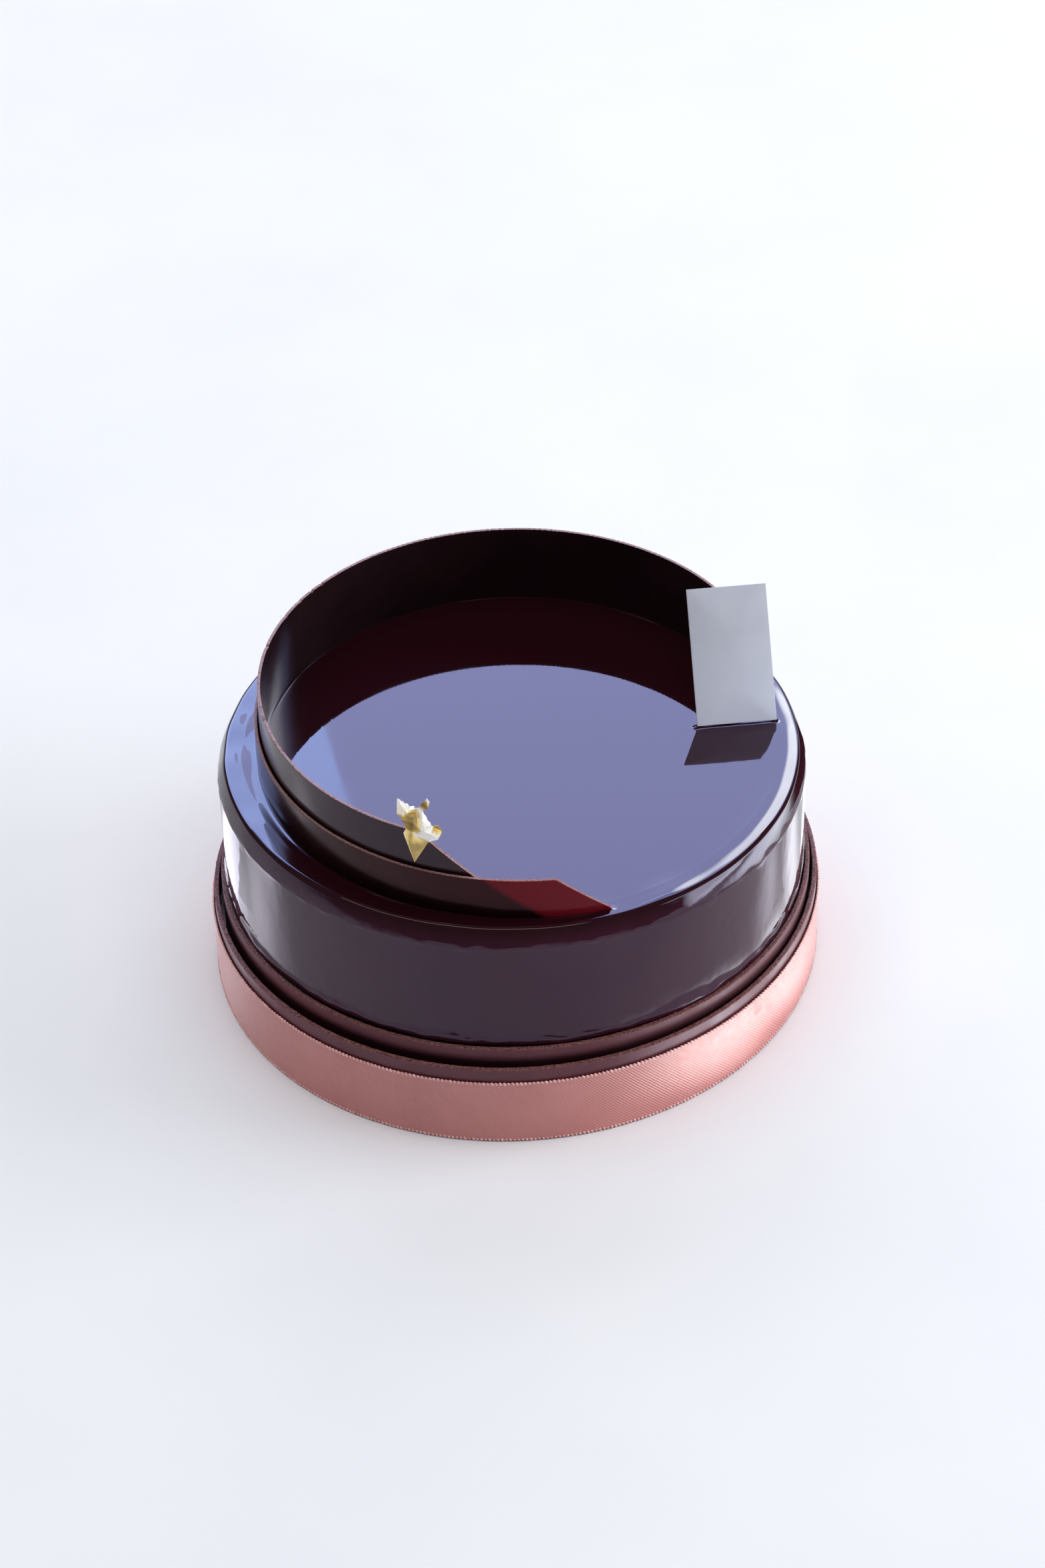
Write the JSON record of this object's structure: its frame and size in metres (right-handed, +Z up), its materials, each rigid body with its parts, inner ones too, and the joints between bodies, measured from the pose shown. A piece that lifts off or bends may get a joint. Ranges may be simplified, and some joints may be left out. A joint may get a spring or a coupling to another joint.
{
  "type": "sachertorte cake",
  "caption": "Round mirror-glazed chocolate cake with chocolate rings and a satin ribbon round its foot, curled chocolate strips, gold leaf and a blank card on top.",
  "frame": {"origin": "on the base plane, on the upright axis of the rings", "axes": "+Z up; the slanted front ends of the curled strips point towards -Y and +X"},
  "size_m": [0.1764, 0.1782, 0.1054],
  "materials": {
    "glaze": "mirror-glossy dark chocolate glaze",
    "ring_chocolate": "satin tempered chocolate with a rough cut edge",
    "strip_chocolate": "glossy tempered chocolate",
    "ribbon_satin": "dusty pink satin",
    "card_board": "smooth pale card",
    "gold_foil": "crumpled gold leaf"
  },
  "bodies": {
    "root": {"glazed_cake": "glaze", "inner_ring": "ring_chocolate", "outer_ring": "ring_chocolate", "ribbon_band": "ribbon_satin", "tall_collar": "strip_chocolate", "low_collar": "strip_chocolate", "name_card": "card_board", "gold_leaf": "gold_foil"}
  },
  "joints": []
}
